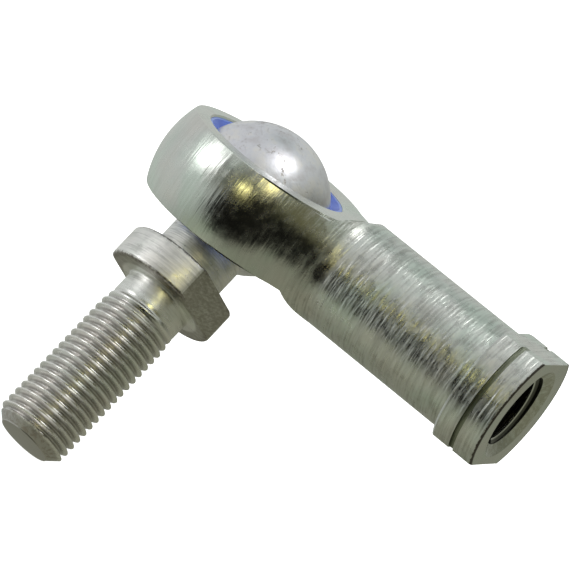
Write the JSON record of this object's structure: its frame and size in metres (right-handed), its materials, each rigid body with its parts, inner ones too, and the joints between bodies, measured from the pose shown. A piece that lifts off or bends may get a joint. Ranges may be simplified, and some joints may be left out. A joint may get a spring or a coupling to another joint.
{
  "type": "rod end bearing",
  "caption": "Female-thread rod end with a captive ball and an offset threaded stud that tilts, swivels and spins.",
  "frame": {"origin": "centre of the ball, on the axis of the head's bore", "axes": "+X along the shank to its threaded end, +Z along the head's bore on the dome side, stud leaving towards -Z"},
  "size_m": [0.0538, 0.0354, 0.0458],
  "materials": {
    "zinc_body": "turned steel with bright zinc plating, faint yellow-green tint",
    "race_plastic": "moulded blue nylon",
    "ball_steel": "dull plated steel with small pits",
    "stud_steel": "turned and rolled steel with bright zinc plating"
  },
  "bodies": {
    "housing": {"rod_end_body": "zinc_body"},
    "race": {"race": "race_plastic"},
    "ball": {"ball": "ball_steel"},
    "stud": {"stud": "stud_steel"}
  },
  "joints": [
    {"name": "swivel", "type": "hinge", "parent": "housing", "child": "race", "pos_m": [0, 0, 0], "axis": [0, 0, 1], "continuous": true},
    {"name": "tilt", "type": "hinge", "parent": "race", "child": "ball", "pos_m": [0, 0, 0], "axis": [-0.9994, -0.0349, 0], "range_deg": [-58, 2]},
    {"name": "spin", "type": "hinge", "parent": "ball", "child": "stud", "pos_m": [0, 0, 0], "axis": [0.0164, -0.4692, -0.8829], "continuous": true}
  ]
}
